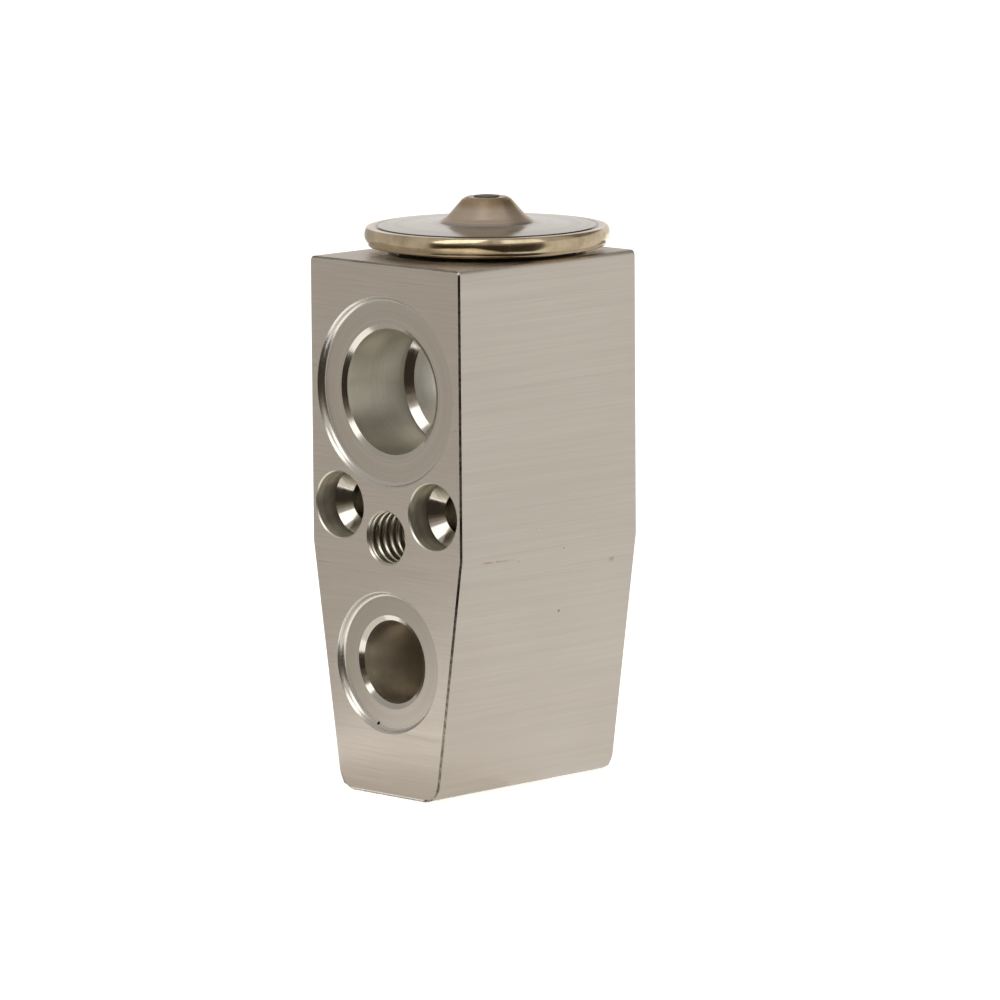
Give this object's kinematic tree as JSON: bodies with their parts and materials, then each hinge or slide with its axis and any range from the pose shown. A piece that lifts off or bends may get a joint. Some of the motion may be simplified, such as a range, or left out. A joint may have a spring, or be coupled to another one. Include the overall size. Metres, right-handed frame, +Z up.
{
  "type": "block-type thermostatic expansion valve",
  "caption": "Tapered metal block with stepped pipe ports and screw holes, topped by a round diaphragm power element; meters liquid refrigerant into an evaporator.",
  "frame": {"origin": "where the valve's own axis meets the bottom face that it stands on", "axes": "+Z up along the valve's axis towards the power element, -Y out of the front face with the liquid inlet and the suction outlet, +X to the right when looking at that face"},
  "size_m": [0.0374, 0.0408, 0.0899],
  "materials": {
    "block": "warm satin extruded and machined aluminium",
    "head_steel": "pressed stainless with a straw-coloured rim",
    "base_steel": "pressed stainless with a straw-coloured rim",
    "plain_steel": "turned steel",
    "foil": "bright rolled stainless foil",
    "plug_steel": "dark welded plug",
    "black_rubber": "matt moulded seal",
    "shaft_alloy": "turned aluminium",
    "spring_steel": "drawn spring steel",
    "bright_steel": "ground and polished steel",
    "turned_brass": "turned brass"
  },
  "bodies": {
    "housing": {"valve_body": "block", "head_cover": "head_steel", "head_base": "base_steel", "head_neck": "plain_steel", "diaphragm": "foil", "charge_plug": "plug_steel", "head_seal": "black_rubber", "shaft_seal": "black_rubber", "seal_retainer": "spring_steel", "valve_spring": "spring_steel"},
    "stem": {"stop_plate": "plain_steel", "sensing_shaft": "shaft_alloy", "push_rod": "bright_steel", "valve_ball": "bright_steel", "ball_carrier": "turned_brass", "damper_ring": "spring_steel"},
    "adjuster_carriage": {"adjuster_seal": "black_rubber"},
    "adjuster": {"adjusting_screw": "turned_brass"}
  },
  "joints": [
    {"name": "stem_slide", "type": "slide", "parent": "housing", "child": "stem", "axis": [0, 0, 1], "range_m": [0, 0.0006], "stiffness_N_per_m": 500, "deforming": ["diaphragm", "valve_spring"]},
    {"name": "adjuster_travel", "type": "slide", "parent": "housing", "child": "adjuster_carriage", "axis": [0, 0, 1], "range_m": [-0.001, 0.001]},
    {"name": "adjuster_turn", "type": "hinge", "parent": "adjuster_carriage", "child": "adjuster", "pos_m": [0, 0, 0.005], "axis": [0, 0, 1], "range_deg": [-360, 360]}
  ],
  "couplings": [
    {"joint": "adjuster_turn", "follows": "adjuster_travel", "rad_per_m": 6283.1}
  ]
}
